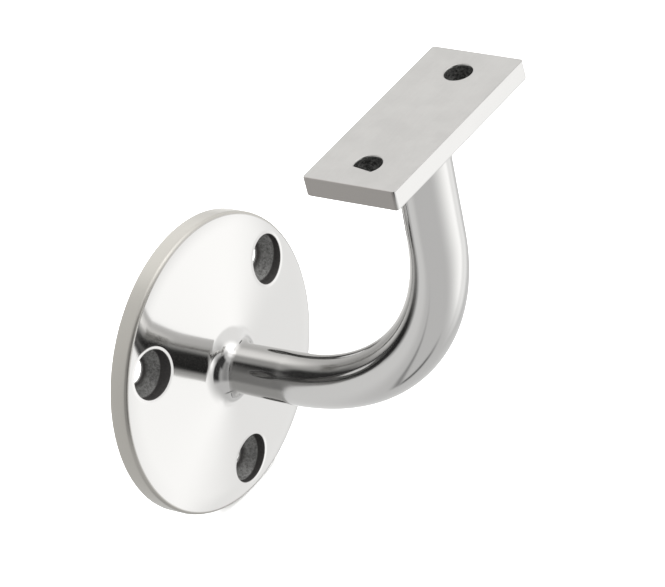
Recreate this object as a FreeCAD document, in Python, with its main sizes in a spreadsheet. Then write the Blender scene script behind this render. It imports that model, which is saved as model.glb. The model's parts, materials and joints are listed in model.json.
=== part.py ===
"""Handrail bracket: one polished casting that holds a handrail off a wall.

A round wall rose with three stepped screw seats, a round swan-neck arm that
swells at its bend, and a flat saddle plate under the rail with two plain holes.

Frame: the origin is the centre of the rose's back face, +X points out of the
wall, +Y runs along the rail and +Z points up. The part is the same on both
sides of the plane Y = 0. All sizes are in millimetres.
"""

import FreeCAD
import Part

import math
import os

import Sketcher
from FreeCAD import Placement, Rotation, Vector

NODE = "bracket"
LETTERS = "abcdefghi"
PARTS_FOLDER = "parts"
BEND_STEPS = 8
CUT_TOLERANCE = 0.05

# Sizes of the bracket: alias, value, meaning.
SIZES = [
    ("rose_diameter", 75.0, "outside of the wall rose"),
    ("rim_thickness", 5.0, "rose thickness at its rim"),
    ("face_slope", 0.115, "rise of the domed face for each mm inward"),
    ("rim_rounding", 1.0, "front edge of the rim"),
    ("back_edge_break", 0.3, "back edge of the rim"),
    ("root_cove", 4.0, "hollow blend between rose and arm"),
    ("root_diameter", 12.3, "arm where it leaves the rose"),
    ("bend_start_diameter", 12.9, "arm where its bend starts"),
    ("middle_diameter", 14.3, "arm at the middle of its bend"),
    ("bend_end_diameter", 13.7, "arm where its bend ends"),
    ("top_diameter", 13.4, "arm under the saddle plate"),
    ("bend_radius", 55.0, "bend of the arm's centreline"),
    ("bend_angle", 86.0, "degrees turned by the bend"),
    ("saddle_out", 83.0, "wall to the middle of the saddle plate"),
    ("saddle_top", 84.0, "rose centre up to the rail's underside"),
    ("saddle_thickness", 5.3, "saddle plate"),
    ("saddle_width", 25.0, "saddle plate across the rail"),
    ("saddle_length", 55.5, "saddle plate along the rail"),
    ("saddle_corner", 0.6, "upright corners of the saddle plate"),
    ("saddle_edge", 0.5, "lower edges of the saddle plate"),
    ("saddle_top_break", 0.2, "upper edges of the saddle plate"),
    ("saddle_blend", 2.5, "blend between arm and saddle plate"),
    ("wall_hole_count", 3, "wall screws, the first straight below the centre"),
    ("wall_hole_circle", 57.4, "circle through the wall screws"),
    ("wall_seat_diameter", 12.2, "straight seat over each wall screw"),
    ("wall_hole_diameter", 6.2, "clearance hole for a 5.5 mm wood screw"),
    ("wall_cone_angle", 90.0, "degrees between the sides of the countersink"),
    ("wall_land", 0.8, "straight wall left behind the countersink"),
    ("cutter_back", 1.0, "how far the seat's cutter starts behind the back face"),
    ("wall_mouth_break", 0.25, "edge of each seat's mouth"),
    ("rail_hole_diameter", 6.7, "clearance hole for a 6 mm wood screw"),
    ("rail_hole_spacing", 38.4, "between the two rail screws"),
    ("rail_mouth_break", 0.35, "edge of each rail hole's mouth"),
]

# Sizes that follow from the ones above: alias, formula, meaning.
DERIVED = [
    ("rose_radius", "=rose_diameter / 2", "half of the rose"),
    ("root_radius", "=root_diameter / 2", "half of the arm's root"),
    ("start_radius", "=bend_start_diameter / 2", "half of the arm at the bend's start"),
    ("end_radius", "=bend_end_diameter / 2", "half of the arm at the bend's end"),
    ("middle_radius", "=middle_diameter / 2", "half of the arm at mid-bend"),
    ("top_radius", "=top_diameter / 2", "half of the arm's top"),
    ("break_end", "=rose_radius - back_edge_break", "back face's edge"),
    ("crown", "=rim_thickness + face_slope * (rose_radius - root_radius)",
     "face height where a sharp arm would meet it"),
    ("hole_radius", "=wall_hole_circle / 2", "rose centre to a wall screw"),
    ("seat_face", "=rim_thickness + face_slope * (rose_radius - hole_radius)",
     "face height over a wall screw"),
    ("seat_radius", "=wall_seat_diameter / 2", "half of the seat"),
    ("shank_radius", "=wall_hole_diameter / 2", "half of the clearance hole"),
    ("cone_depth", "=(seat_radius - shank_radius) / tan(wall_cone_angle / 2 * 1 deg)",
     "depth of the countersink"),
    ("seat_floor", "=wall_land + cone_depth", "floor of the straight seat"),
    ("cutter_front", "=seat_face + 3 * cutter_back", "cutter's end, clear of the face"),
    ("plate_under", "=saddle_top - saddle_thickness", "underside of the plate"),
    ("arm_embed", "=saddle_thickness / 2", "the arm's end, inside the plate"),
    ("bend_rise", "=bend_radius * (1 - cos(bend_angle * 1 deg))",
     "height gained by the bend"),
    ("top_run", "=(plate_under - bend_rise) / sin(bend_angle * 1 deg)",
     "straight length after the bend"),
    ("bend_start", "=saddle_out - bend_radius * sin(bend_angle * 1 deg)"
     " - top_run * cos(bend_angle * 1 deg)", "wall to the start of the bend"),
    ("bend_out", "=bend_start + bend_radius * sin(bend_angle * 1 deg)",
     "wall to the end of the bend"),
    ("bend_half", "=bend_radius * bend_angle * pi / 360", "half of the bend's length"),
    ("root_growth", "=(start_radius - root_radius) / (bend_start - crown)",
     "how fast the arm swells before the bend"),
    ("top_growth", "=(top_radius - end_radius) / top_run",
     "how fast the arm swells after the bend"),
    ("mast_length", "=top_run + arm_embed", "straight length after the bend, in all"),
    ("mast_radius", "=end_radius + top_growth * mast_length", "its far end's radius"),
    ("half_width", "=saddle_width / 2", "half of the plate's width"),
    ("half_length", "=saddle_length / 2", "half of the plate's length"),
    ("under_blend", "=min(saddle_blend; half_width - top_radius - 2 * saddle_edge)",
     "blend under the plate, as far as the plate's width leaves room"),
    ("blend_reach", "=(half_width + top_radius + under_blend) / 2",
     "a circle between the blend and the plate's sides"),
    ("plate_inner", "=saddle_out - half_width", "plate's side toward the wall"),
    ("plate_outer", "=saddle_out + half_width", "plate's side away from the wall"),
    ("rail_hole_half", "=rail_hole_spacing / 2", "middle to a rail screw"),
    ("rail_hole_radius", "=rail_hole_diameter / 2", "half of a rail hole"),
]


def fill_sheet(doc):
    """Writes the sizes, then the formulas, one row each."""
    sheet = doc.addObject("Spreadsheet::Sheet", "sizes")
    sheet.Label = "sizes"
    row = 1
    for alias, value, meaning in SIZES:
        sheet.set("A%d" % row, meaning)
        sheet.set("B%d" % row, "%g" % value)
        sheet.setAlias("B%d" % row, alias)
        row += 1
    for alias, formula, meaning in DERIVED:
        sheet.set("A%d" % row, meaning)
        sheet.set("B%d" % row, formula)
        sheet.setAlias("B%d" % row, alias)
        row += 1
    add_arm_rows(sheet, row)
    doc.recompute()
    return sheet


def add_arm_rows(sheet, row):
    """Adds the place, turn and radius of each round section of the bend.

    The radius follows one smooth cubic up to mid-bend and another after it.
    They are level at mid-bend and run on into the straight tapers at the ends.
    """
    for step in range(BEND_STEPS + 1):
        name = "bend_" + LETTERS[step]
        turn = "bend_angle * %r" % (step / BEND_STEPS)
        along = 2 * step / BEND_STEPS
        if along <= 1:
            v = along
            near, far = "start_radius", "middle_radius"
            slope = "root_growth * %r" % (v ** 3 - 2 * v ** 2 + v)
        else:
            v = along - 1
            near, far = "middle_radius", "end_radius"
            slope = "top_growth * %r" % (v ** 3 - v ** 2)
        blend = 3 * v ** 2 - 2 * v ** 3
        radius = "=%s * %r + %s * %r + bend_half * %s" % (
            near, 1 - blend, far, blend, slope)
        cells = [
            ("turn", "=" + turn),
            ("out", "=bend_start + bend_radius * sin(%s * 1 deg)" % turn),
            ("up", "=bend_radius * (1 - cos(%s * 1 deg))" % turn),
            ("radius", radius)]
        for suffix, formula in cells:
            sheet.set("A%d" % row, "bend section %s, %s" % (LETTERS[step], suffix))
            sheet.set("B%d" % row, formula)
            sheet.setAlias("B%d" % row, "%s_%s" % (name, suffix))
            row += 1


def number(sheet, alias):
    """The value of one cell as a plain number."""
    value = sheet.get(alias)
    return float(getattr(value, "Value", value))


def plane(body, role):
    """One of the body's own origin planes or axes."""
    for feature in body.Origin.OriginFeatures:
        if feature.Role == role:
            return feature
    raise ValueError("no origin feature " + role)


def new_sketch(body, name, role):
    """An empty sketch lying on one of the body's origin planes."""
    sketch = body.newObject("Sketcher::SketchObject", name)
    sketch.AttachmentSupport = [(plane(body, role), "")]
    sketch.MapMode = "FlatFace"
    return sketch


def bind(sketch, constraint, alias):
    """Adds a dimension to the sketch and ties it to a cell."""
    index = sketch.addConstraint(constraint)
    sketch.setExpression("Constraints[%d]" % index, "sizes.%s" % alias)


def pin(sketch, sheet, item, point, across, upward):
    """Fixes one corner of a sketch from cells; None puts it on the axis."""
    if across is None and upward is None:
        sketch.addConstraint(Sketcher.Constraint("Coincident", item, point, -1, 1))
        return
    for alias, kind, axis in ((across, "DistanceX", -2), (upward, "DistanceY", -1)):
        if alias is None:
            sketch.addConstraint(
                Sketcher.Constraint("PointOnObject", item, point, axis))
        elif alias.startswith("-"):
            size = number(sheet, alias[1:])
            bind(sketch, Sketcher.Constraint(kind, item, point, -1, 1, size), alias[1:])
        else:
            size = number(sheet, alias)
            bind(sketch, Sketcher.Constraint(kind, -1, 1, item, point, size), alias)


def signed(sheet, alias):
    """A cell's value, negative where the alias is written with a minus."""
    if alias is None:
        return 0.0
    if alias.startswith("-"):
        return -number(sheet, alias[1:])
    return number(sheet, alias)


def outline(sketch, sheet, corners):
    """A closed outline of straight lines through corners named by their cells."""
    points = [Vector(signed(sheet, a), signed(sheet, b), 0) for a, b in corners]
    count = len(points)
    for i in range(count):
        sketch.addGeometry(Part.LineSegment(points[i], points[(i + 1) % count]), False)
    for i in range(count):
        sketch.addConstraint(
            Sketcher.Constraint("Coincident", i, 2, (i + 1) % count, 1))
    for i, (across, upward) in enumerate(corners):
        pin(sketch, sheet, i, 1, across, upward)


def circle(sketch, sheet, radius, across=None, upward=None):
    """A circle whose radius and centre come from cells."""
    centre = Vector(signed(sheet, across), signed(sheet, upward), 0)
    item = sketch.addGeometry(
        Part.Circle(centre, Vector(0, 0, 1), number(sheet, radius)), False)
    bind(sketch, Sketcher.Constraint("Radius", item, number(sheet, radius)), radius)
    pin(sketch, sheet, item, 3, across, upward)


def same(first, second):
    """Whether two lengths agree to a thousandth of a millimetre."""
    return abs(first - second) < 1e-3


def compare(name, cut, expect):
    """Stops if a cut did not take away the volume that it should."""
    if abs(cut - expect) > CUT_TOLERANCE * expect:
        raise ValueError("the %s took %.0f mm3, not %.0f" % (name, cut, expect))


def edges_where(shape, test):
    """Names of the edges of a shape whose every sampled point passes a test."""
    names = []
    for index, edge in enumerate(shape.Edges, 1):
        points = edge.discretize(5)
        if all(test(point) for point in points):
            names.append("Edge%d" % index)
    return names


def soften(doc, body, kind, name, names, alias):
    """A Fillet or Chamfer on named edges of the body's present shape."""
    if not names:
        raise ValueError("no edges found for " + name)
    base = body.Tip
    feature = body.newObject("PartDesign::" + kind, name)
    feature.Base = (base, names)
    if kind == "Fillet":
        feature.setExpression("Radius", "sizes.%s" % alias)
    else:
        feature.setExpression("Size", "sizes.%s" % alias)
    doc.recompute()
    base.Visibility = False
    return feature


def make_bend(doc, body, sheet):
    """The arm's bend, lofted through round sections square to its centreline."""
    sections = []
    for step in range(BEND_STEPS + 1):
        name = "bend_" + LETTERS[step]
        turn = number(sheet, name + "_turn")
        sketch = new_sketch(body, name, "YZ_Plane")
        sketch.AttachmentOffset = Placement(
            Vector(0, number(sheet, name + "_up"), number(sheet, name + "_out")),
            Rotation(Vector(-1, 0, 0), turn))
        sketch.setExpression(".AttachmentOffset.Base.y", "sizes.%s_up" % name)
        sketch.setExpression(".AttachmentOffset.Base.z", "sizes.%s_out" % name)
        if step:
            sketch.setExpression(
                ".AttachmentOffset.Rotation.Angle", "sizes.%s_turn" % name)
        circle(sketch, sheet, name + "_radius")
        sections.append(sketch)
    doc.recompute()
    bend = body.newObject("PartDesign::AdditiveLoft", "bend")
    bend.Profile = sections[0]
    bend.Sections = sections[1:]
    bend.Ruled = False
    bend.Closed = False
    doc.recompute()


def make_mast(doc, body, sheet):
    """The arm's straight top, turned about its own leaning axis."""
    sketch = new_sketch(body, "mast_profile", "XZ_Plane")
    sketch.AttachmentOffset = Placement(
        Vector(number(sheet, "bend_out"), number(sheet, "bend_rise"), 0),
        Rotation(Vector(0, 0, 1), number(sheet, "bend_angle")))
    sketch.setExpression(".AttachmentOffset.Base.x", "sizes.bend_out")
    sketch.setExpression(".AttachmentOffset.Base.y", "sizes.bend_rise")
    sketch.setExpression(".AttachmentOffset.Rotation.Angle", "sizes.bend_angle")
    outline(sketch, sheet, [
        (None, None),
        (None, "end_radius"),
        ("mast_length", "mast_radius"),
        ("mast_length", None),
    ])
    doc.recompute()
    mast = body.newObject("PartDesign::Revolution", "mast")
    mast.Profile = sketch
    mast.ReferenceAxis = (sketch, ["H_Axis"])
    mast.Angle = 360
    doc.recompute()


def profile_of_rose(sketch, sheet):
    """Half of the rose and neck in section, with two tangent arcs.

    The face is a straight slope and the neck a slight taper. A round at the
    rim and a cove at the neck are tangent to them, and two reference points
    hold the lines where they would meet if the corners were sharp.
    """
    radius = number(sheet, "rose_radius")
    rim = number(sheet, "rim_thickness")
    rounding = number(sheet, "rim_rounding")
    cove = number(sheet, "root_cove")
    root = number(sheet, "root_radius")
    crown = number(sheet, "crown")
    start = number(sheet, "bend_start")
    start_radius = number(sheet, "start_radius")
    tilt = math.atan(number(sheet, "face_slope"))
    taper = math.atan(number(sheet, "root_growth"))
    # A round's centre lies on its corner's bisector, so its distance from the
    # corner along a side is the radius times the tangent of half the turn.
    rim_turn = math.pi / 2 - tilt
    rim_back = rounding * math.tan(rim_turn / 2)
    cove_turn = math.pi / 2 - tilt - taper
    cove_out = cove * math.tan(cove_turn / 2)
    rim_centre = Vector(rim - rim_back, radius - rounding, 0)
    cove_centre = Vector(
        crown + cove_out * math.cos(taper) - cove * math.sin(taper),
        root + cove_out * math.sin(taper) + cove * math.cos(taper), 0)
    rim_arc = Part.ArcOfCircle(
        Part.Circle(rim_centre, Vector(0, 0, 1), rounding), tilt, math.pi / 2)
    cove_arc = Part.ArcOfCircle(
        Part.Circle(cove_centre, Vector(0, 0, 1), cove),
        math.pi + tilt, 1.5 * math.pi + taper)
    corner = [Vector(0, 0, 0), Vector(0, number(sheet, "break_end"), 0),
              Vector(number(sheet, "back_edge_break"), radius, 0)]
    back = sketch.addGeometry(Part.LineSegment(corner[0], corner[1]), False)
    bevel = sketch.addGeometry(Part.LineSegment(corner[1], corner[2]), False)
    side = sketch.addGeometry(Part.LineSegment(corner[2], rim_arc.EndPoint), False)
    front = sketch.addGeometry(rim_arc, False)
    face = sketch.addGeometry(
        Part.LineSegment(rim_arc.StartPoint, cove_arc.StartPoint), False)
    hollow = sketch.addGeometry(cove_arc, False)
    neck = sketch.addGeometry(
        Part.LineSegment(cove_arc.EndPoint, Vector(start, start_radius, 0)), False)
    end = sketch.addGeometry(Part.LineSegment(
        Vector(start, start_radius, 0), Vector(start, 0, 0)), False)
    axis = sketch.addGeometry(
        Part.LineSegment(Vector(start, 0, 0), Vector(0, 0, 0)), False)
    high = sketch.addGeometry(Part.Point(Vector(rim, radius, 0)), True)
    low = sketch.addGeometry(Part.Point(Vector(crown, root, 0)), True)
    for first, first_end, second, second_end in (
            (back, 2, bevel, 1), (bevel, 2, side, 1), (neck, 2, end, 1),
            (end, 2, axis, 1), (axis, 2, back, 1)):
        sketch.addConstraint(
            Sketcher.Constraint("Coincident", first, first_end, second, second_end))
    for first, first_end, second, second_end in (
            (side, 2, front, 2), (front, 1, face, 1),
            (face, 2, hollow, 1), (hollow, 2, neck, 1)):
        sketch.addConstraint(
            Sketcher.Constraint("Tangent", first, first_end, second, second_end))
    sketch.addConstraint(Sketcher.Constraint("PointOnObject", high, 1, face))
    sketch.addConstraint(Sketcher.Constraint("PointOnObject", low, 1, face))
    sketch.addConstraint(Sketcher.Constraint("PointOnObject", low, 1, neck))
    sketch.addConstraint(Sketcher.Constraint("Horizontal", side))
    bind(sketch, Sketcher.Constraint("Radius", front, rounding), "rim_rounding")
    bind(sketch, Sketcher.Constraint("Radius", hollow, cove), "root_cove")
    pin(sketch, sheet, back, 1, None, None)
    pin(sketch, sheet, back, 2, None, "break_end")
    pin(sketch, sheet, bevel, 2, "back_edge_break", "rose_radius")
    pin(sketch, sheet, neck, 2, "bend_start", "start_radius")
    pin(sketch, sheet, end, 2, "bend_start", None)
    pin(sketch, sheet, high, 1, "rim_thickness", "rose_radius")
    pin(sketch, sheet, low, 1, "crown", "root_radius")


def make_rose(doc, body, sheet):
    """The rose and the arm's straight neck, turned about the X axis."""
    sketch = new_sketch(body, "rose_profile", "XZ_Plane")
    profile_of_rose(sketch, sheet)
    doc.recompute()
    rose = body.newObject("PartDesign::Revolution", "rose")
    rose.Profile = sketch
    rose.ReferenceAxis = (plane(body, "X_Axis"), [""])
    rose.Angle = 360
    doc.recompute()


def make_saddle(doc, body, sheet):
    """The flat plate that the rail lies on, blended to the arm below it."""
    sketch = new_sketch(body, "saddle_outline", "XY_Plane")
    sketch.setExpression(".AttachmentOffset.Base.z", "sizes.plate_under")
    outline(sketch, sheet, [
        ("plate_inner", "-half_length"),
        ("plate_outer", "-half_length"),
        ("plate_outer", "half_length"),
        ("plate_inner", "half_length"),
    ])
    doc.recompute()
    saddle = body.newObject("PartDesign::Pad", "saddle")
    saddle.Profile = sketch
    saddle.setExpression("Length", "sizes.saddle_thickness")
    doc.recompute()
    top = number(sheet, "saddle_top")
    under = number(sheet, "plate_under")
    out = number(sheet, "saddle_out")
    half_width = number(sheet, "half_width")
    half_length = number(sheet, "half_length")
    middle = number(sheet, "blend_reach")
    names = edges_where(body.Tip.Shape, lambda p: same(abs(p.y), half_length)
                        and same(abs(p.x - out), half_width))
    soften(doc, body, "Chamfer", "saddle_corners", names, "saddle_corner")
    names = edges_where(body.Tip.Shape, lambda p: same(p.z, under)
                        and math.hypot(p.x - out, p.y) < middle)
    soften(doc, body, "Fillet", "saddle_hollow", names, "under_blend")
    names = edges_where(body.Tip.Shape, lambda p: same(p.z, under)
                        and math.hypot(p.x - out, p.y) > middle)
    soften(doc, body, "Chamfer", "saddle_under_edges", names, "saddle_edge")
    names = edges_where(body.Tip.Shape, lambda p: same(p.z, top))
    soften(doc, body, "Chamfer", "saddle_top_edges", names, "saddle_top_break")


def make_rail_holes(doc, body, sheet):
    """Two plain screw holes through the saddle plate."""
    sketch = new_sketch(body, "rail_hole_plan", "XY_Plane")
    sketch.setExpression(".AttachmentOffset.Base.z", "sizes.saddle_top")
    circle(sketch, sheet, "rail_hole_radius", "saddle_out", "rail_hole_half")
    circle(sketch, sheet, "rail_hole_radius", "saddle_out", "-rail_hole_half")
    doc.recompute()
    before = body.Shape.Volume
    holes = body.newObject("PartDesign::Pocket", "rail_holes")
    holes.Profile = sketch
    holes.Type = "ThroughAll"
    doc.recompute()
    top = number(sheet, "saddle_top")
    radius = number(sheet, "rail_hole_radius")
    out = number(sheet, "saddle_out")
    half = number(sheet, "rail_hole_half")
    expect = 2 * math.pi * radius ** 2 * number(sheet, "saddle_thickness")
    compare("rail holes", before - body.Shape.Volume, expect)
    names = edges_where(body.Tip.Shape, lambda p: same(p.z, top)
                        and same(math.hypot(p.x - out, abs(p.y) - half), radius))
    soften(doc, body, "Chamfer", "rail_hole_mouths", names, "rail_mouth_break")


def make_wall_seats(doc, body, sheet):
    """Three stepped screw seats, the first straight below the rose's centre."""
    sketch = new_sketch(body, "wall_seat_profile", "XZ_Plane")
    sketch.setExpression(".AttachmentOffset.Base.y", "-sizes.hole_radius")
    outline(sketch, sheet, [
        ("-cutter_back", None),
        ("-cutter_back", "shank_radius"),
        ("wall_land", "shank_radius"),
        ("seat_floor", "seat_radius"),
        ("cutter_front", "seat_radius"),
        ("cutter_front", None),
    ])
    doc.recompute()
    before = body.Shape.Volume
    seat = body.newObject("PartDesign::Groove", "wall_seat")
    seat.Profile = sketch
    seat.ReferenceAxis = (sketch, ["H_Axis"])
    seat.Angle = 360
    doc.recompute()
    seats = body.newObject("PartDesign::PolarPattern", "wall_seats")
    seats.Originals = [seat]
    seats.Axis = (plane(body, "X_Axis"), [""])
    seats.Angle = 360
    seats.setExpression("Occurrences", "sizes.wall_hole_count")
    body.Tip = seats
    doc.recompute()
    count = int(number(sheet, "wall_hole_count"))
    floor = number(sheet, "seat_floor")
    face = number(sheet, "seat_face")
    ring = number(sheet, "hole_radius")
    radius = number(sheet, "seat_radius")
    shank = number(sheet, "shank_radius")
    land = number(sheet, "wall_land")
    straight = radius ** 2 * (face - floor) + shank ** 2 * land
    cone = (floor - land) * (radius ** 2 + radius * shank + shank ** 2) / 3
    compare("wall seats", before - body.Shape.Volume, count * math.pi * (straight + cone))

    def on_mouth(point):
        if point.x < (floor + face) / 2:
            return False
        for index in range(count):
            turn = math.radians(-90 + 360 * index / count)
            across = point.y - ring * math.cos(turn)
            upward = point.z - ring * math.sin(turn)
            if same(math.hypot(across, upward), radius):
                return True
        return False

    names = edges_where(body.Tip.Shape, on_mouth)
    soften(doc, body, "Chamfer", "wall_seat_mouths", names, "wall_mouth_break")


def check(doc, body):
    """Stops if any object failed or the piece isn't one sound solid."""
    for item in doc.Objects:
        if "Invalid" in item.State or "Error" in item.State:
            raise ValueError("%s failed: %s" % (item.Name, item.State))
    shape = body.Shape
    if shape.isNull() or not shape.isValid() or len(shape.Solids) != 1:
        raise ValueError("the bracket is not one valid solid")


def main():
    doc = FreeCAD.newDocument("handrail_bracket")
    sheet = fill_sheet(doc)
    body = doc.addObject("PartDesign::Body", NODE)
    body.Label = NODE
    body.Placement = Placement()
    make_bend(doc, body, sheet)
    make_mast(doc, body, sheet)
    make_rose(doc, body, sheet)
    make_saddle(doc, body, sheet)
    make_rail_holes(doc, body, sheet)
    make_wall_seats(doc, body, sheet)
    doc.recompute()
    check(doc, body)
    os.makedirs(PARTS_FOLDER, exist_ok=True)
    shape = body.Shape
    shape.exportStep(os.path.join(PARTS_FOLDER, body.Label + ".step"))
    box = shape.optimalBoundingBox(True, False)
    print("bracket %.1f x %.1f x %.1f mm, %.0f mm3" % (
        box.XLength, box.YLength, box.ZLength, shape.Volume))


main()
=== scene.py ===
"""Handrail bracket: one polished casting on a pale floor.

The casting is a round wall rose with three stepped screw seats, a round
swan-neck arm and a flat saddle plate with two plain screw holes. Everything is
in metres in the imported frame: the origin is the centre of the rose's back, +X
points out of the wall, +Y runs along the rail and +Z points up.
"""

import json
import math
from types import SimpleNamespace

import bmesh
import bpy
from mathutils import Euler, Matrix, Vector


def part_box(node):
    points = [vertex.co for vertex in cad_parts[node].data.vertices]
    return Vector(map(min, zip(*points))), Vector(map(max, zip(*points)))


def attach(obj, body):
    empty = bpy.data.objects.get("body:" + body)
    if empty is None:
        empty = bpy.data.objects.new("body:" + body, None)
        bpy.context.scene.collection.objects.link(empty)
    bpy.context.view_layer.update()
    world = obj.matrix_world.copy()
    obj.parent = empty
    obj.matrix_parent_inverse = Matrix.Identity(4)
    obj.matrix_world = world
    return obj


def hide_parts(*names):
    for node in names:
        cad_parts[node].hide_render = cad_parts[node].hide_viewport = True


bl_info = {
    "name": "Handrail bracket",
    "version": (1, 0, 0),
    "blender": (4, 5, 0),
    "location": "3D View > Sidebar > Bracket",
    "description": "Builds a polished handrail bracket and its studio",
    "category": "Object",
}

NODE = "bracket"
SLOT = "polished_casting"
MM = 0.001

# How finely the shapes are cut.
ROUND_STEPS = 192
FACE_RINGS = 16
RIM_STEPS = 8
COVE_STEPS = 14
SEAT_STEPS = 80
HOLE_STEPS = 64
MOUTH_STEPS = 4
BEND_STEPS = 64
TOP_STEPS = 12
FLARE_STEPS = 10
CORNER_STEPS = 4
LOWER_EDGE_STEPS = 4
UPPER_EDGE_STEPS = 3

# Margins, reaches and limits of the mesh.
FACE_MARGIN = 0.4 * MM
SEAT_MARGIN = 0.8 * MM
LOWER_MOUTH = 0.15 * MM
SAME_PLACE = 0.001 * MM
MERGE_REACH = 0.0001 * MM
NORMAL_REACH = 0.005 * MM
CRISP_ANGLE = math.radians(32)
OUTLINE_SHARE = 0.9

# The near rail hole's cast lip: the side that it flattens, and how many times
# its own depth its underside reaches down.
LIP_SIDE = Vector((-0.165, -0.986, 0)).normalized()
LIP_FOOT = 1.1

# Where one finish gives way to the next, in millimetres past an edge.
BANDS = {
    "seat wall": (0.05, 0.2),
    "seat back": (0.2, 0.5),
    # The seat floor and countersink bands are where the painted shade of the seat walls
    # and hole edges fades out.
    "seat floor": (-0.25, -0.05),
    "countersink": (0.1, 1.0),
    "worn mouth": (0.0, 1.1),
    "rim": (-1.0, -0.4),
    "rim front": (0.0, 0.6),
    "rose back": (0.02, 0.1),
    "plate top": (-0.25, -0.1),
    "plate end": (-0.35, -0.15),
    "plate foot": (0.2, 0.5),
    # The rail hole bands bound the painted shade in the rail holes.
    "rail hole": (0.1, 0.25),
    "rail hole top": (-0.7, -0.1),
}
# The same from the wall outwards, before and past the rose's worn face.
ON_FACE = ((0.05, 0.3), (9.0, 10.0))

# The grinding runs along the rail.
GRAIN = (1.0, 0.08, 1.0)
# Between which strengths of a pattern the colour changes.
CLOUD_RANGE = (0.3, 0.7)
SOOT_RANGE = (0.2, 0.75)
BORE_RANGE = (0.35, 0.65)
# How much the patterns change colour, roughness and height.
SATIN_CLOUDS = 0.93
BORE_PITS = 0.15
POLISH_SPREAD = 0.03
GRIND_SPREAD = 0.25
GRIND_DEPTH = 0.004 * MM
PIT_DEPTH = 0.12 * MM

# The room that the metal shows: its walls, and how much each bright area adds.
WALLS = 0.66
BRIGHT = {
    "behind": 0.14,
    "card": 0.76,
    "side": 0.38,
    "ceiling": 0.75,
    "glow": 0.85,
    "back card": 0.5,
    "far patch": 0.8,
    "overhead": 0.6,
}
# The card's edge leans, it dims in two steps, and the back card dims in one.
CARD_SLANT = 0.59
CARD_DIMS = (0.45, 0.55)
BACK_CARD_DIM = 0.2
# How much light each dark area takes away.
DARK = {
    "grey left": 0.55,
    "streak": 0.8,
    "seam": 0.55,
    "foot": 0.8,
    "gaps": 0.95,
}

FLOOR_REACH = 3.0
FLOOR_GAP = 0.1 * MM
FLOOR_ROUGHNESS = 0.9
CAMERA_SENSOR = 36.0
CAMERA_REACH = 20.0
WHITE = (1, 1, 1, 1)

# Sockets of a Mix node that is set to colours. They share their names with others.
MIX_FACTOR, MIX_FIRST, MIX_SECOND, MIX_RESULT = 0, 6, 7, 2

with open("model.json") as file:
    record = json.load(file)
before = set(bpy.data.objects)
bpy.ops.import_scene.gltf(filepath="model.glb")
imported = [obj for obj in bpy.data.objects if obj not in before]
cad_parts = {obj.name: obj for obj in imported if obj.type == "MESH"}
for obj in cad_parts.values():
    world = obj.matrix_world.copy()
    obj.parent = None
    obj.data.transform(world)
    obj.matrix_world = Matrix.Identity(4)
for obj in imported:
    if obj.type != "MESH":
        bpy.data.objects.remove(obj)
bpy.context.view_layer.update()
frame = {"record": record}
low_corner, high_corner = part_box(NODE)
mounts = {mount["name"]: mount for mount in frame["record"]["mounts"]}
wall_screws = mounts["wall_screws"]["dims"]
rail_screws = mounts["saddle_screws"]["dims"]
saddle_centre = mounts["saddle_face"]["pos_m"]


def length(name, description, default):
    """A size in metres that shows in the scene's own units."""
    return bpy.props.FloatProperty(
        name=name, description=description, default=default, min=0.0, max=1.0,
        precision=5, subtype="DISTANCE", unit="LENGTH")


def factor(name, description, default, top=1.0):
    """A plain number from nought to its top."""
    return bpy.props.FloatProperty(
        name=name, description=description, default=default, min=0.0, max=top,
        precision=4)


def colour(name, description, default):
    """A colour without alpha."""
    return bpy.props.FloatVectorProperty(
        name=name, description=description, default=default, size=3, min=0.0,
        max=1.0, subtype="COLOR")


class RoseSizes(bpy.types.PropertyGroup):
    """Sizes of the wall rose and its three screw seats."""

    diameter: length("Diameter", "Outside of the rose", 2 * high_corner.y)
    rim: length("Rim", "Thickness at the rim", 5.0 * MM)
    slope: factor("Slope", "Rise of the face for each unit inward", 0.115)
    rim_round: length("Rim round", "Radius of the rim's front edge", 1.0 * MM)
    back_break: length("Back break", "Break of the back edge", 0.3 * MM)
    cove: length("Cove", "Radius of the hollow round the arm", 5.0 * MM)
    hole_circle: length("Hole circle", "Circle through the wall screws",
                        wall_screws["pcd_mm"] * MM)
    hole_count: bpy.props.IntProperty(
        name="Holes", description="Number of wall screws",
        default=wall_screws["count"], min=1, max=6)
    hole_diameter: length("Hole", "Clear hole for a wall screw",
                          2 * wall_screws["hole_r_mm"] * MM)
    seat_diameter: length("Seat", "Straight seat over a wall screw", 12.2 * MM)
    seat_floor: length("Seat floor", "Wall to the top of the countersink", 3.8 * MM)
    land: length("Land", "Straight hole behind the countersink", 0.8 * MM)
    mouth: length("Mouth", "Round at the mouth of a seat", 0.25 * MM)


class ArmSizes(bpy.types.PropertyGroup):
    """Sizes of the swan-neck arm."""

    root: length("Root", "Diameter where the arm leaves the rose", 12.3 * MM)
    bend_start: length("Bend start", "Diameter where the bend starts", 12.9 * MM)
    middle: length("Middle", "Diameter at the middle of the bend", 14.3 * MM)
    bend_end: length("Bend end", "Diameter where the bend ends", 13.7 * MM)
    top: length("Top", "Diameter under the saddle plate", 13.4 * MM)
    bend_radius: length("Bend radius", "Radius of the centreline", 55.0 * MM)
    bend_angle: bpy.props.FloatProperty(
        name="Bend angle", description="Turn of the bend",
        default=math.radians(86.0), min=0.5, max=math.pi / 2, subtype="ANGLE",
        unit="ROTATION")


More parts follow.
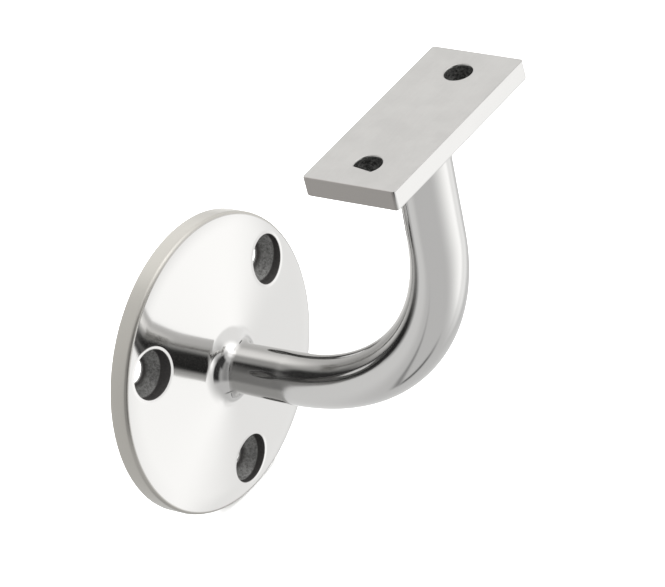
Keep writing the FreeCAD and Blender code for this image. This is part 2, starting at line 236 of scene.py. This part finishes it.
class SaddleSizes(bpy.types.PropertyGroup):
    """Sizes of the saddle plate."""

    width: length("Width", "Across the rail", 25.0 * MM)
    length: length("Length", "Along the rail", 55.5 * MM)
    thickness: length("Thickness", "Thickness of the plate", 5.3 * MM)
    corner: length("Corner", "Round of the upright corners", 0.9 * MM)
    lower_edge: length("Lower edge", "Round of the lower edges", 0.7 * MM)
    upper_edge: length("Upper edge", "Round of the upper edges", 0.25 * MM)
    blend: length("Blend", "Hollow between arm and plate", 2.5 * MM)
    hole_spacing: length("Hole spacing", "Between the rail screws",
                         rail_screws["spacing_y_mm"] * MM)
    hole_diameter: length("Hole", "Clear hole for a rail screw",
                          2 * rail_screws["hole_r_mm"] * MM)
    mouth: length("Mouth", "Break at the mouth of a rail hole", 0.35 * MM)
    lip_reach: length("Lip reach", "From the near hole's middle to its cast lip",
                      2.0 * MM)
    lip_depth: length("Lip depth", "Thickness of the near hole's cast lip", 0.9 * MM)


class FinishSettings(bpy.types.PropertyGroup):
    """Colours, roughness and worn edges of the casting's skin, with painted shade in
    the screw seats and rail holes.
    """

    polished: colour("Polished", "Mirror polished metal", (0.535, 0.53, 0.52))
    satin: colour("Satin", "Belt-ground metal", (0.37, 0.363, 0.352))
    raw: colour("Raw", "Unpolished skin in the screw seats", (0.34, 0.34, 0.33))
    rim_tone: colour("Rim", "Turned rim of the rose", (0.41, 0.397, 0.367))
    end_grain: colour("Plate ends", "Coarsely ground ends of the plate",
                      (0.31, 0.295, 0.28))
    # Painted shade: the rail holes' walls are coloured dark for the shade inside them,
    # with darker pits.
    painted_bore_shade: colour("Drilled", "Dark walls of the rail holes", (0.13, 0.13, 0.125))
    # Black polishing paste in patches on the seat cones. The same colour is painted
    # shade over the seat walls, in the screw holes and at the holes' edges.
    paste_and_painted_shade: colour("Soot", "Black polishing paste left in corners", (0.085, 0.082, 0.08))
    polish_roughness: factor("Polish roughness", "Roughness of the mirror", 0.085)
    satin_roughness: factor("Satin roughness", "Roughness of ground metal", 0.34)
    raw_roughness: factor("Raw roughness", "Roughness of the cast skin", 0.62)
    waviness: length("Waviness", "Height of the hand polish's waves", 0.04 * MM)
    roll_start: length("Roll start", "Radius where polishing rolled the face over",
                       32.5 * MM)
    roll_fall: length("Roll fall", "How far the rolled edge falls", 0.32 * MM)
    mouth_fall: length("Mouth fall", "How far the edges of the seats are worn",
                       0.12 * MM)


class StudioSettings(bpy.types.PropertyGroup):
    """Floor, light and camera of the studio."""

    floor_colour: colour("Floor", "Pale floor", (0.9, 0.9, 0.9))
    light: factor("Light", "Strength of the soft light", 3.0, 20.0)
    shine: factor("Shine", "Strength of the room that metal shows", 1.28, 20.0)
    lens: factor("Lens", "Focal length in millimetres", 255.58, 1000.0)
    camera_place: bpy.props.FloatVectorProperty(
        name="Camera place", description="Where the camera stands",
        default=(0.6673, -0.699, 0.62536), precision=5, subtype="TRANSLATION",
        unit="LENGTH")
    camera_turn: bpy.props.FloatVectorProperty(
        name="Camera turn", description="Turns of the camera about X, Y and Z",
        default=[math.radians(turn) for turn in (56.56114, 12.52401, 33.48734)],
        subtype="EULER", unit="ROTATION")


class Value:
    """A socket of a node tree that plain arithmetic adds Math nodes to."""

    def __init__(self, tree, socket=None):
        self.tree = tree
        self.socket = socket

    def node(self, kind, settings, inputs, output=0):
        """Adds any node: its settings first, then values or links of its sockets."""
        made = self.tree.nodes.new(kind)
        for name, setting in settings.items():
            setattr(made, name, setting)
        for key, value in inputs.items():
            if isinstance(value, Value):
                self.tree.links.new(value.socket, made.inputs[key])
            else:
                made.inputs[key].default_value = value
        return None if output is None else Value(self.tree, made.outputs[output])

    def math(self, operation, *others):
        """One Math node with this value first."""
        return self.node("ShaderNodeMath", {"operation": operation},
                         dict(enumerate((self, *others))))

    def __add__(self, other):
        return self.math("ADD", other)

    __radd__ = __add__

    def __sub__(self, other):
        return self.math("SUBTRACT", other)

    def __rsub__(self, other):
        return self.node("ShaderNodeMath", {"operation": "SUBTRACT"},
                         {0: other, 1: self})

    def __mul__(self, other):
        return self.math("MULTIPLY", other)

    __rmul__ = __mul__

    def __truediv__(self, other):
        return self.math("DIVIDE", other)

    def __neg__(self):
        return 0 - self

    def __abs__(self):
        return self.math("ABSOLUTE")

    def ramp(self, low, high):
        """Nought below one value, one above another, and smooth between them."""
        return self.node(
            "ShaderNodeMapRange", {"interpolation_type": "SMOOTHSTEP"},
            {"Value": self, "From Min": low, "From Max": high})

    def past(self, edge, band):
        """Nought before an edge's band, one after it, and smooth within it."""
        start, end = BANDS[band]
        return self.ramp(edge + start, edge + end)

    def window(self, opening, shut):
        """One between two ramps: from where one ends to where the other starts."""
        return self.ramp(*opening) * (1 - self.ramp(*shut))

    def hump(self, centre, width):
        """One at a value, falling smoothly to nought at a width to each side."""
        return 1 - abs(self - centre).ramp(0.0, width)


def largest(first, *others):
    """The largest of some values, and of plain numbers after the first."""
    for other in others:
        first = first.math("MAXIMUM", other)
    return first


def smallest(first, *others):
    """The smallest of some values."""
    for other in others:
        first = first.math("MINIMUM", other)
    return first


def far(first, second):
    """Distance across two right-angled steps."""
    return (first * first + second * second).math("SQRT")


def blend_colours(mask, first, second):
    """A colour that changes from one to another with a mask."""
    return mask.node(
        "ShaderNodeMix", {"data_type": "RGBA"},
        {MIX_FACTOR: mask, MIX_FIRST: first, MIX_SECOND: second}, MIX_RESULT)


def tint(plain, share=1.0):
    """A plain colour, or a darker share of it, with the alpha that sockets want."""
    return (*[share * part for part in plain], 1)


def noise(place, scale, detail, roughness):
    """A soft pattern through the metal."""
    return place.node("ShaderNodeTexNoise", {}, {
        "Vector": place, "Scale": scale, "Detail": detail, "Roughness": roughness})


def split(place):
    """The three parts of a place or direction."""
    return [place.node("ShaderNodeSeparateXYZ", {}, {0: place}, axis)
            for axis in ("X", "Y", "Z")]


def new_tree(owner):
    """Empties a material's or world's node tree."""
    owner.use_nodes = True
    owner.node_tree.nodes.clear()
    return Value(owner.node_tree)


def near(first, second):
    """Whether two lengths agree to a thousandth of a millimetre."""
    return abs(first - second) < SAME_PLACE


def ring_edges(verts):
    """The edges that join some vertices to each other, always in one order."""
    chosen = set(verts)
    found = dict.fromkeys(edge for vert in verts for edge in vert.link_edges)
    return [edge for edge in found if all(v in chosen for v in edge.verts)]


def extrude_ring(bm, edges):
    """Extrudes a ring of edges and gives the new vertices and edges."""
    made = bmesh.ops.extrude_edge_only(bm, edges=edges)["geom"]
    verts = [item for item in made if isinstance(item, bmesh.types.BMVert)]
    return verts, ring_edges(verts)


def round_off(bm, edges, offset, segments):
    """Bevels edges to a round."""
    bmesh.ops.bevel(
        bm, geom=edges, offset=offset, offset_type="OFFSET", affect="EDGES",
        segments=segments, profile=0.5, material=-1, clamp_overlap=False)


def resize_ring(bm, verts, centre, ratio):
    """Scales a ring about a point."""
    bmesh.ops.scale(bm, vec=(ratio, ratio, ratio), verts=verts,
                    space=Matrix.Translation(-Vector(centre)))


def bend_place(arm, saddle):
    """Where the bend starts along X, and the length of the straight above it."""
    turn = arm.bend_angle
    under = saddle_centre[2] - saddle.thickness
    run = (under - arm.bend_radius * (1 - math.cos(turn))) / math.sin(turn)
    reach = arm.bend_radius * math.sin(turn) + run * math.cos(turn)
    return saddle_centre[0] - reach, run


def seat_places(rose):
    """Where the screw seats stand on the wall, from the lowest one on."""
    circle = rose.hole_circle / 2
    turns = [2 * math.pi * index / rose.hole_count - math.pi / 2
             for index in range(rose.hole_count)]
    return [(circle * math.cos(turn), circle * math.sin(turn)) for turn in turns]


def face_height(rose, radius):
    """Height of the rose's sloping face at a distance from its centre."""
    return rose.rim + rose.slope * (rose.diameter / 2 - radius)


def spin_rose(bm, rose, arm, start):
    """Spins the rose and the arm's neck, and gives the edges of its open ends."""
    outside = rose.diameter / 2
    neck = arm.root / 2
    crown = face_height(rose, neck)
    turn = math.pi / 2 - math.atan(rose.slope)
    taper = math.atan((arm.bend_start / 2 - neck) / (start - crown))
    rim_reach = rose.rim_round * math.tan(turn / 2)
    cove_reach = rose.cove * math.tan((turn - taper) / 2)
    outer = outside - rim_reach - FACE_MARGIN
    inner = neck + cove_reach + FACE_MARGIN
    back = outside - rose.back_break
    chain = [(0.0, back), (rose.back_break, outside), (rose.rim, outside),
             (face_height(rose, outer), outer), (face_height(rose, inner), inner),
             (crown, neck), (start, arm.bend_start / 2)]
    verts = [bm.verts.new((x, 0.0, r)) for x, r in chain]
    edges = [bm.edges.new(pair) for pair in zip(verts, verts[1:])]
    face_line = edges[3]
    bmesh.ops.subdivide_edges(bm, edges=[face_line], cuts=FACE_RINGS)
    bmesh.ops.spin(
        bm, geom=bm.verts[:] + bm.edges[:], cent=(0, 0, 0), axis=(1, 0, 0),
        angle=2 * math.pi, steps=ROUND_STEPS, use_merge=True)

    def ring_at(x, radius):
        return ring_edges([
            vert for vert in bm.verts
            if near(vert.co.x, x) and near(math.hypot(vert.co.y, vert.co.z), radius)])

    round_off(bm, ring_at(rose.rim, outside), rim_reach, RIM_STEPS)
    round_off(bm, ring_at(crown, neck), cove_reach, COVE_STEPS)
    return ring_at(0.0, back), ring_at(start, arm.bend_start / 2)


def sink_seat(bm, rose, y, z):
    """Opens one stepped screw seat in the face, and gives its ring at the back."""
    seat = rose.seat_diameter / 2
    hole = rose.hole_diameter / 2
    mouth = seat + rose.mouth

    def away(vert):
        return math.hypot(vert.co.y - y, vert.co.z - z)

    def on_face(vert):
        return vert.co.x > rose.rim

    gone = [face for face in bm.faces
            if any(away(vert) < mouth + SEAT_MARGIN for vert in face.verts)
            and all(on_face(vert) for vert in face.verts)]
    bmesh.ops.delete(bm, geom=gone, context="FACES")
    # The gap's own edge lies within twice the mouth's radius.
    edge_of_gap = [edge for edge in bm.edges if edge.is_boundary
                   and all(on_face(vert) and away(vert) < 2 * mouth
                           for vert in edge.verts)]
    ring = bmesh.ops.create_circle(
        bm, segments=SEAT_STEPS, radius=mouth,
        matrix=Matrix.Translation((0, y, z)) @ Matrix.Rotation(math.pi / 2, 4, "Y"))
    for vert in ring["verts"]:
        vert.co.x = face_height(rose, math.hypot(vert.co.y, vert.co.z))
    edges = ring_edges(ring["verts"])
    bmesh.ops.triangle_fill(
        bm, edges=edge_of_gap + edges, use_beauty=True, normal=(1, 0, 0))
    axis = Matrix.Translation((0, -y, -z))
    radius, depth = mouth, 0.0
    for step in range(1, MOUTH_STEPS + 1):
        turn = step / MOUTH_STEPS * math.pi / 2
        new_radius = mouth - rose.mouth * math.sin(turn)
        new_depth = rose.mouth * (1 - math.cos(turn))
        verts, edges = extrude_ring(bm, edges)
        ratio = new_radius / radius
        bmesh.ops.scale(bm, vec=(1, ratio, ratio), verts=verts, space=axis)
        bmesh.ops.translate(bm, vec=(depth - new_depth, 0, 0), verts=verts)
        radius, depth = new_radius, new_depth
    verts, edges = extrude_ring(bm, edges)
    bmesh.ops.scale(bm, vec=(0, 1, 1), verts=verts,
                    space=Matrix.Translation((-rose.seat_floor, 0, 0)))
    verts, edges = extrude_ring(bm, edges)
    bmesh.ops.scale(bm, vec=(1, hole / seat, hole / seat), verts=verts, space=axis)
    bmesh.ops.translate(bm, vec=(rose.land - rose.seat_floor, 0, 0), verts=verts)
    verts, edges = extrude_ring(bm, edges)
    bmesh.ops.translate(bm, vec=(-rose.land, 0, 0), verts=verts)
    return edges


def arm_radius(arm, straight, run, along):
    """Radius of the arm from the bend's start (0) to its end (1)."""
    root = arm.root / 2
    start = arm.bend_start / 2
    middle = arm.middle / 2
    end = arm.bend_end / 2
    half = arm.bend_radius * arm.bend_angle / 2
    v = 2 * along
    if v <= 1:
        slope = (start - root) / straight * (v ** 3 - 2 * v ** 2 + v)
        near_end, far_end = start, middle
    else:
        v -= 1
        slope = (arm.top / 2 - end) / run * (v ** 3 - v ** 2)
        near_end, far_end = middle, end
    blend = 3 * v ** 2 - 2 * v ** 3
    return near_end * (1 - blend) + far_end * blend + half * slope


def draw_arm(bm, rose, arm, saddle, edges):
    """Draws the arm up from the neck and flares it out under the saddle."""
    start, run = bend_place(arm, saddle)
    straight = start - face_height(rose, arm.root / 2)
    step_turn = arm.bend_angle / BEND_STEPS
    radius = arm.bend_start / 2
    for step in range(1, BEND_STEPS + 1):
        turn = step * step_turn
        verts, edges = extrude_ring(bm, edges)
        bmesh.ops.rotate(bm, cent=(start, 0, arm.bend_radius), verts=verts,
                         matrix=Matrix.Rotation(-step_turn, 3, "Y"))
        centre = Vector((start + arm.bend_radius * math.sin(turn), 0,
                         arm.bend_radius * (1 - math.cos(turn))))
        new_radius = arm_radius(arm, straight, run, step / BEND_STEPS)
        resize_ring(bm, verts, centre, new_radius / radius)
        radius = new_radius
    under = saddle_centre[2] - saddle.thickness
    uphill = Vector((math.cos(arm.bend_angle), 0, math.sin(arm.bend_angle)))
    left = math.pi / 2 - arm.bend_angle
    top = arm.top / 2
    stations = []
    plain = under - saddle.blend
    for step in range(1, TOP_STEPS + 1):
        share = step / TOP_STEPS
        height = centre.z + (plain - centre.z) * share
        stations.append((height, arm.bend_end / 2 * (1 - share) + top * share,
                         left / TOP_STEPS))
    for step in range(1, FLARE_STEPS + 1):
        turn = step / FLARE_STEPS * math.pi / 2
        stations.append((plain + saddle.blend * math.sin(turn),
                         top + saddle.blend * (1 - math.cos(turn)), 0.0))
    for height, new_radius, turn in stations:
        verts, edges = extrude_ring(bm, edges)
        move = uphill * ((height - centre.z) / uphill.z)
        centre = centre + move
        bmesh.ops.translate(bm, vec=move, verts=verts)
        bmesh.ops.rotate(bm, cent=centre, verts=verts,
                         matrix=Matrix.Rotation(-turn, 3, "Y"))
        resize_ring(bm, verts, centre, new_radius / radius)
        radius = new_radius
    return edges


def sink_rail_hole(bm, saddle, side):
    """Makes the wall of one rail hole, and gives its rings above and below."""
    out, _, top = saddle_centre
    under = top - saddle.thickness
    y = side * saddle.hole_spacing / 2
    radius = saddle.hole_diameter / 2
    stations = []
    for step in range(1, MOUTH_STEPS + 1):
        turn = step / MOUTH_STEPS * math.pi / 2
        stations.append((radius + saddle.mouth * (1 - math.sin(turn)),
                         top - saddle.mouth * (1 - math.cos(turn))))
    if side < 0:
        stations.append((radius, top - saddle.lip_depth))
        stations.append((radius, top - LIP_FOOT * saddle.lip_depth))
    stations.append((radius, under + LOWER_MOUTH))
    stations.append((radius + LOWER_MOUTH, under))

    axis = Matrix.Translation((-out, -y, 0))
    wide, height = radius + saddle.mouth, top
    verts = bmesh.ops.create_circle(
        bm, segments=HOLE_STEPS, radius=wide,
        matrix=Matrix.Translation((out, y, top)))["verts"]
    upper = edges = ring_edges(verts)
    lip = [(verts, wide)]
    for new_wide, new_height in stations:
        verts, edges = extrude_ring(bm, edges)
        ratio = new_wide / wide
        bmesh.ops.scale(bm, vec=(ratio, ratio, 1), verts=verts, space=axis)
        bmesh.ops.translate(bm, vec=(0, 0, new_height - height), verts=verts)
        wide, height = new_wide, new_height
        if side < 0 and height >= top - saddle.lip_depth:
            lip.append((verts, wide))
    if side < 0:
        flatten_lip(bm, saddle, Vector((out, y, 0)), lip)
    return upper, edges


def flatten_lip(bm, saddle, middle, rings):
    """Pushes one side of the near rail hole's upper rings in to a flat lip."""
    radius = saddle.hole_diameter / 2
    for verts, wide in rings:
        reach = saddle.lip_reach + wide - radius
        for vert in verts:
            past = (vert.co - middle).dot(LIP_SIDE) - reach
            if past > 0:
                bmesh.ops.translate(bm, vec=-past * LIP_SIDE, verts=[vert])


def lay_saddle(bm, saddle, foot):
    """Builds the saddle plate with its two holes and joins it to the arm's foot."""
    out, _, top = saddle_centre
    under = top - saddle.thickness
    half_width = saddle.width / 2
    half_length = saddle.length / 2
    cube = bmesh.ops.create_cube(
        bm, size=1.0,
        matrix=Matrix.Translation((out, 0, (top + under) / 2))
        @ Matrix.Diagonal((saddle.width, saddle.length, saddle.thickness, 1)))
    upright = [edge for edge in ring_edges(cube["verts"])
               if near(edge.verts[0].co.x, edge.verts[1].co.x)
               and near(edge.verts[0].co.y, edge.verts[1].co.y)]
    round_off(bm, upright, saddle.corner, CORNER_STEPS)

    def outline_at(height):
        return ring_edges([
            vert for vert in bm.verts if near(vert.co.z, height)
            and max(abs(vert.co.x - out) / half_width,
                    abs(vert.co.y) / half_length) > OUTLINE_SHARE])

    round_off(bm, outline_at(under), saddle.lower_edge, LOWER_EDGE_STEPS)
    round_off(bm, outline_at(top), saddle.upper_edge, UPPER_EDGE_STEPS)
    flats = [face for face in bm.faces
             if abs(face.normal.z) > math.cos(CRISP_ANGLE)
             and face.calc_area() > half_width * half_length]
    outlines = {}
    for face in flats:
        outlines[face.calc_center_median().z > (top + under) / 2] = face.edges[:]
    bmesh.ops.delete(bm, geom=flats, context="FACES_ONLY")
    for side in (-1, 1):
        upper, lower = sink_rail_hole(bm, saddle, side)
        outlines[True] += upper
        outlines[False] += lower
    bmesh.ops.triangle_fill(
        bm, edges=outlines[True], use_beauty=True, normal=(0, 0, 1))
    bmesh.ops.triangle_fill(
        bm, edges=outlines[False] + foot, use_beauty=True, normal=(0, 0, -1))


def close_mesh(bm):
    """Merges doubles, turns faces outwards and marks the crisp edges."""
    bmesh.ops.remove_doubles(bm, verts=bm.verts[:], dist=MERGE_REACH)
    bmesh.ops.recalc_face_normals(bm, faces=bm.faces[:])
    for face in bm.faces:
        face.smooth = True
    for edge in bm.edges:
        if not edge.is_manifold:
            raise ValueError("the casting is open near %s" % edge.verts[0].co)
        edge.smooth = edge.calc_face_angle() < CRISP_ANGLE


def new_piece(name, bm):
    """Makes a finished object of a bmesh and puts it in the scene."""
    mesh = bpy.data.meshes.new(name)
    bm.to_mesh(mesh)
    bm.free()
    piece = bpy.data.objects.new(name, mesh)
    bpy.context.scene.collection.objects.link(piece)
    return piece


def find_zones(x, y, z, rose, saddle):
    """Masks of the casting's zones, from a place on it in millimetres."""
    seat = rose.seat_diameter / 2 / MM
    out, _, top = [part / MM for part in saddle_centre]
    from_axis = far(y, z)
    to_seat = smallest(*[far(y - seat_y / MM, z - seat_z / MM)
                         for seat_y, seat_z in seat_places(rose)])
    to_rail_hole = far(x - out, abs(y) - saddle.hole_spacing / 2 / MM)

    rim = largest(
        from_axis.past(rose.diameter / 2 / MM, "rim")
        * (1 - x.past(rose.rim / MM, "rim front")),
        1 - x.past(0.0, "rose back"))
    plate_end = (abs(y).past(saddle.length / 2 / MM, "plate end")
                 * z.past(top - saddle.thickness / MM, "plate foot"))
    in_seat = (1 - to_seat.past(seat, "seat wall")) * x.past(0.0, "seat back")
    # Painted shade goes on the rail holes' walls inside this mask.
    in_rail_hole = (
        (1 - to_rail_hole.past(saddle.hole_diameter / 2 / MM, "rail hole"))
        * (1 - z.past(top, "rail hole top")))
    return SimpleNamespace(
        from_axis=from_axis,
        rim=rim,
        plate_end=plate_end,
        satin=largest(z.past(top, "plate top"), rim, plate_end),
        in_rail_hole=in_rail_hole,
        raw=largest(in_seat, in_rail_hole),
        # Nought on the seat walls, in the screw holes and at their edges, which take
        # painted shade.
        on_cone=((1 - to_seat.past(seat, "seat floor"))
                 * to_seat.past(rose.hole_diameter / 2 / MM, "countersink")),
        worn=1 - to_seat.past(seat, "worn mouth"),
        on_face=x.window(*ON_FACE))


def find_patterns(place):
    """The fine patterns that break up the finishes."""
    grain = place.node("ShaderNodeMapping", {}, {"Vector": place, "Scale": GRAIN})
    return SimpleNamespace(
        grind=noise(grain, scale=2200.0, detail=4.0, roughness=0.65),
        waves=noise(place, scale=70.0, detail=1.5, roughness=0.5),
        clouds=noise(place, scale=140.0, detail=5.0, roughness=0.6),
        pits=noise(place, scale=1400.0, detail=5.0, roughness=0.75))


def metal_colour(zones, patterns, finish):
    """Polished metal, with the colour of each other zone laid over it, and painted
    shade in the screw seats and rail holes.
    """
    ground = blend_colours(patterns.clouds.ramp(*CLOUD_RANGE), tint(finish.satin),
                           tint(finish.satin, SATIN_CLOUDS))
    # The seats' skin: paste patches on the cone, and painted shade on the wall, in the
    # hole and at its edge.
    skin = blend_colours(zones.on_cone * patterns.pits.ramp(*SOOT_RANGE),
                         tint(finish.paste_and_painted_shade), tint(finish.raw))
    # Painted shade in the rail holes, with darker pits.
    shaded_bore = blend_colours(patterns.pits.ramp(*BORE_RANGE), tint(finish.painted_bore_shade),
                         tint(finish.painted_bore_shade, BORE_PITS))
    base = blend_colours(zones.satin, tint(finish.polished), ground)
    base = blend_colours(zones.rim, base, tint(finish.rim_tone))
    base = blend_colours(zones.plate_end, base, tint(finish.end_grain))
    base = blend_colours(zones.raw, base, skin)
    return blend_colours(zones.in_rail_hole, base, shaded_bore)


def metal_roughness(zones, patterns, finish):
    """Roughness of the polish, of the ground metal and of the cast skin."""
    polish = finish.polish_roughness
    return (polish + POLISH_SPREAD * (patterns.pits - 0.5)
            + zones.satin * (finish.satin_roughness - polish)
            + zones.satin * GRIND_SPREAD * (patterns.grind - 0.5)
            + zones.raw * (finish.raw_roughness - polish))


def metal_relief(zones, patterns, rose, finish):
    """Height of the finish in metres: waves, grinding, pits and rolled edges."""
    rolled = (largest(zones.from_axis - finish.roll_start / MM, 0.0)
              / ((rose.diameter / 2 - finish.roll_start) / MM))
    fall = (rolled * rolled * finish.roll_fall
            + zones.worn * finish.mouth_fall) * zones.on_face
    return (patterns.waves * finish.waviness
            + zones.satin * patterns.grind * GRIND_DEPTH
            + zones.raw * patterns.pits * PIT_DEPTH - (1 - zones.raw) * fall)


def finish_casting(rose, saddle, finish):
    """The casting's one material: polished, satin and raw zones by place."""
    material = bpy.data.materials.new(SLOT)
    tree = new_tree(material)
    place = tree.node("ShaderNodeTexCoord", {}, {}, "Object")
    x, y, z = [part / MM for part in split(place)]
    zones = find_zones(x, y, z, rose, saddle)
    patterns = find_patterns(place)
    bump = tree.node("ShaderNodeBump", {}, {
        "Height": metal_relief(zones, patterns, rose, finish),
        "Distance": 1.0, "Strength": 1.0})
    surface = tree.node("ShaderNodeBsdfPrincipled", {}, {
        "Base Color": metal_colour(zones, patterns, finish),
        "Roughness": metal_roughness(zones, patterns, finish),
        "Metallic": 1.0, "Normal": bump})
    tree.node("ShaderNodeOutputMaterial", {}, {"Surface": surface}, None)
    return material


def true_normals(mesh, rose, saddle):
    """Gives the sloping face and the plate's flat sides their exact normals."""
    out, _, top = saddle_centre
    centre = Vector((out, 0, top - saddle.thickness / 2))
    half = Vector((saddle.width, saddle.length, saddle.thickness)) / 2
    normals = []
    for polygon in mesh.polygons:
        for index in polygon.vertices:
            place = mesh.vertices[index].co
            radius = math.hypot(place.y, place.z)
            choices = []
            if abs(place.x - face_height(rose, radius)) < NORMAL_REACH:
                choices.append(Vector((
                    1, rose.slope * place.y / radius, rose.slope * place.z / radius)))
            for axis in range(3):
                step = place[axis] - centre[axis]
                if place.z > centre.z - half.z - NORMAL_REACH and near(
                        abs(step), half[axis]):
                    side = Vector((0, 0, 0))
                    side[axis] = math.copysign(1, step)
                    choices.append(side)
            chosen = Vector((0, 0, 0))
            for choice in choices:
                if choice.angle(polygon.normal) < CRISP_ANGLE:
                    chosen = choice.normalized()
            normals.append(chosen)
    mesh.normals_split_custom_set(normals)


class BRACKET_OT_cast(bpy.types.Operator):
    """Casts the rose, arm and saddle plate in one piece"""

    bl_idname = "bracket.cast"
    bl_label = "Cast the bracket"

    def execute(self, context):
        rose = context.scene.bracket_rose
        arm = context.scene.bracket_arm
        saddle = context.scene.bracket_saddle
        bm = bmesh.new()
        start, _ = bend_place(arm, saddle)
        back, neck = spin_rose(bm, rose, arm, start)
        outline = back
        for y, z in seat_places(rose):
            outline += sink_seat(bm, rose, y, z)
        bmesh.ops.triangle_fill(bm, edges=outline, use_beauty=True, normal=(-1, 0, 0))
        foot = draw_arm(bm, rose, arm, saddle, neck)
        lay_saddle(bm, saddle, foot)
        close_mesh(bm)
        piece = new_piece("bracket_casting", bm)
        true_normals(piece.data, rose, saddle)
        piece.data.materials.append(
            finish_casting(rose, saddle, context.scene.bracket_finish))
        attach(piece, "root")
        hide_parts(NODE)
        return {"FINISHED"}


def floor_finish(studio):
    """Plain pale floor."""
    material = bpy.data.materials.new("floor")
    tree = new_tree(material)
    surface = tree.node("ShaderNodeBsdfPrincipled", {}, {
        "Base Color": tint(studio.floor_colour), "Roughness": FLOOR_ROUGHNESS})
    tree.node("ShaderNodeOutputMaterial", {}, {"Surface": surface}, None)
    return material


def light_room(x, azimuth, height):
    """The light of the room's walls and bright areas.

    Each area starts and ends in a soft band of degrees, round the upright and
    above the level.
    """
    low = 1 - height.ramp(-22, -6)
    high = height.ramp(28, 62)
    slant = azimuth - CARD_SLANT * height
    first_dim, second_dim = CARD_DIMS
    areas = {
        "behind": (-x).ramp(0.3, 0.6),
        "card": (azimuth.ramp(-45, 50) * height.ramp(-80, -52) * low
                 * (1 - first_dim * slant.ramp(61, 79)
                    - second_dim * slant.ramp(93, 115))),
        "side": azimuth.window((8, 34), (95, 125)) * (1 - low),
        "ceiling": high * azimuth.window((-15, 25), (90, 120)),
        "glow": azimuth.hump(-3, 22) * height.hump(-1, 20),
        "back card": (azimuth.ramp(104, 122) * height.ramp(4, 18)
                      * (1 - BACK_CARD_DIM * high)),
        "far patch": azimuth.hump(136, 30) * height.hump(-18, 20),
        "overhead": height.ramp(66, 80),
    }
    light = WALLS
    for name, strength in BRIGHT.items():
        light = light + strength * areas[name]
    return light


def shade_room(light, x, y, z, azimuth, height):
    """Takes light away in the room's grey and dark areas and near the floor."""
    grey_left = azimuth.hump(-84, 46) * height.window((-34, -16), (44, 62))
    streak = azimuth.hump(-155, 9) * height.hump(-18, 22)
    upper_gap = azimuth.window((-76, -54), (-28, -6)) * height.window((8, 26), (50, 64))
    lower_gap = (azimuth.window((-64, -44), (-26, -18))
                 * height.window((-34, -16), (22, 40)))
    seam = x.hump(-0.225, 0.06) * (-y).window((0.1, 0.2), (0.55, 0.8))
    foot = y.hump(-0.16, 0.09) * x.window((-0.26, -0.16), (-0.05, 0.3))
    below = 1 - z.ramp(-0.5, -0.35)
    return (light * (1 - DARK["grey left"] * grey_left) * (1 - DARK["streak"] * streak)
            * (1 - largest(seam * DARK["seam"], foot * DARK["foot"]) * below)
            * (1 - DARK["gaps"] * largest(upper_gap, lower_gap)))


def surroundings(studio):
    """A white room that mirror rays alone see; all other rays see plain white."""
    world = bpy.data.worlds.new("studio")
    tree = new_tree(world)
    # In a world, the first output is the direction that a ray goes in.
    x, y, z = split(tree.node("ShaderNodeTexCoord", {}, {}))
    azimuth = y.math("ARCTAN2", x) * math.degrees(1)
    height = z.math("ARCSINE") * math.degrees(1)
    light = shade_room(light_room(x, azimuth, height), x, y, z, azimuth, height)
    mirrored = tree.node("ShaderNodeLightPath", {}, {}, "Is Glossy Ray")
    room = tree.node("ShaderNodeBackground", {},
                     {"Color": WHITE, "Strength": studio.shine * light})
    plain = tree.node("ShaderNodeBackground", {},
                      {"Color": WHITE, "Strength": studio.light})
    both = tree.node("ShaderNodeMixShader", {}, {0: mirrored, 1: plain, 2: room})
    tree.node("ShaderNodeOutputWorld", {}, {"Surface": both}, None)
    return world


class BRACKET_OT_studio(bpy.types.Operator):
    """Sets out the floor, the light and the camera"""

    bl_idname = "bracket.studio"
    bl_label = "Set up the studio"

    def execute(self, context):
        studio = context.scene.bracket_studio
        bm = bmesh.new()
        bmesh.ops.create_grid(
            bm, x_segments=1, y_segments=1, size=FLOOR_REACH,
            matrix=Matrix.Translation((0, 0, low_corner.z - FLOOR_GAP)))
        floor = new_piece("floor", bm)
        floor.visible_glossy = False
        floor.data.materials.append(floor_finish(studio))
        context.scene.world = surroundings(studio)
        data = bpy.data.cameras.new("camera")
        data.sensor_width = CAMERA_SENSOR
        data.lens = studio.lens
        data.clip_end = CAMERA_REACH
        camera = bpy.data.objects.new("camera", data)
        context.scene.collection.objects.link(camera)
        camera.matrix_world = Matrix.LocRotScale(
            Vector(studio.camera_place), Euler(studio.camera_turn), None)
        context.scene.camera = camera
        context.scene.view_settings.view_transform = "Standard"
        return {"FINISHED"}


class BRACKET_PT_panel(bpy.types.Panel):
    """Sizes and operators of the bracket"""

    bl_idname = "BRACKET_PT_panel"
    bl_label = "Handrail bracket"
    bl_space_type = "VIEW_3D"
    bl_region_type = "UI"
    bl_category = "Bracket"

    def draw(self, context):
        for group in GROUPS:
            settings = getattr(context.scene, group)
            box = self.layout.box()
            box.label(text=group.replace("_", " "))
            for name in settings.__annotations__:
                box.prop(settings, name)
        for operator in OPERATORS:
            self.layout.operator(operator.bl_idname)


GROUPS = {
    "bracket_rose": RoseSizes,
    "bracket_arm": ArmSizes,
    "bracket_saddle": SaddleSizes,
    "bracket_finish": FinishSettings,
    "bracket_studio": StudioSettings,
}
OPERATORS = (BRACKET_OT_cast, BRACKET_OT_studio)


def register():
    for name, group in GROUPS.items():
        bpy.utils.register_class(group)
        setattr(bpy.types.Scene, name, bpy.props.PointerProperty(type=group))
    for operator in OPERATORS:
        bpy.utils.register_class(operator)
    bpy.utils.register_class(BRACKET_PT_panel)


def unregister():
    bpy.utils.unregister_class(BRACKET_PT_panel)
    for operator in reversed(OPERATORS):
        bpy.utils.unregister_class(operator)
    for name, group in GROUPS.items():
        delattr(bpy.types.Scene, name)
        bpy.utils.unregister_class(group)


def main():
    register()
    bpy.ops.bracket.cast()
    bpy.ops.bracket.studio()


if __name__ == "__main__":
    main()
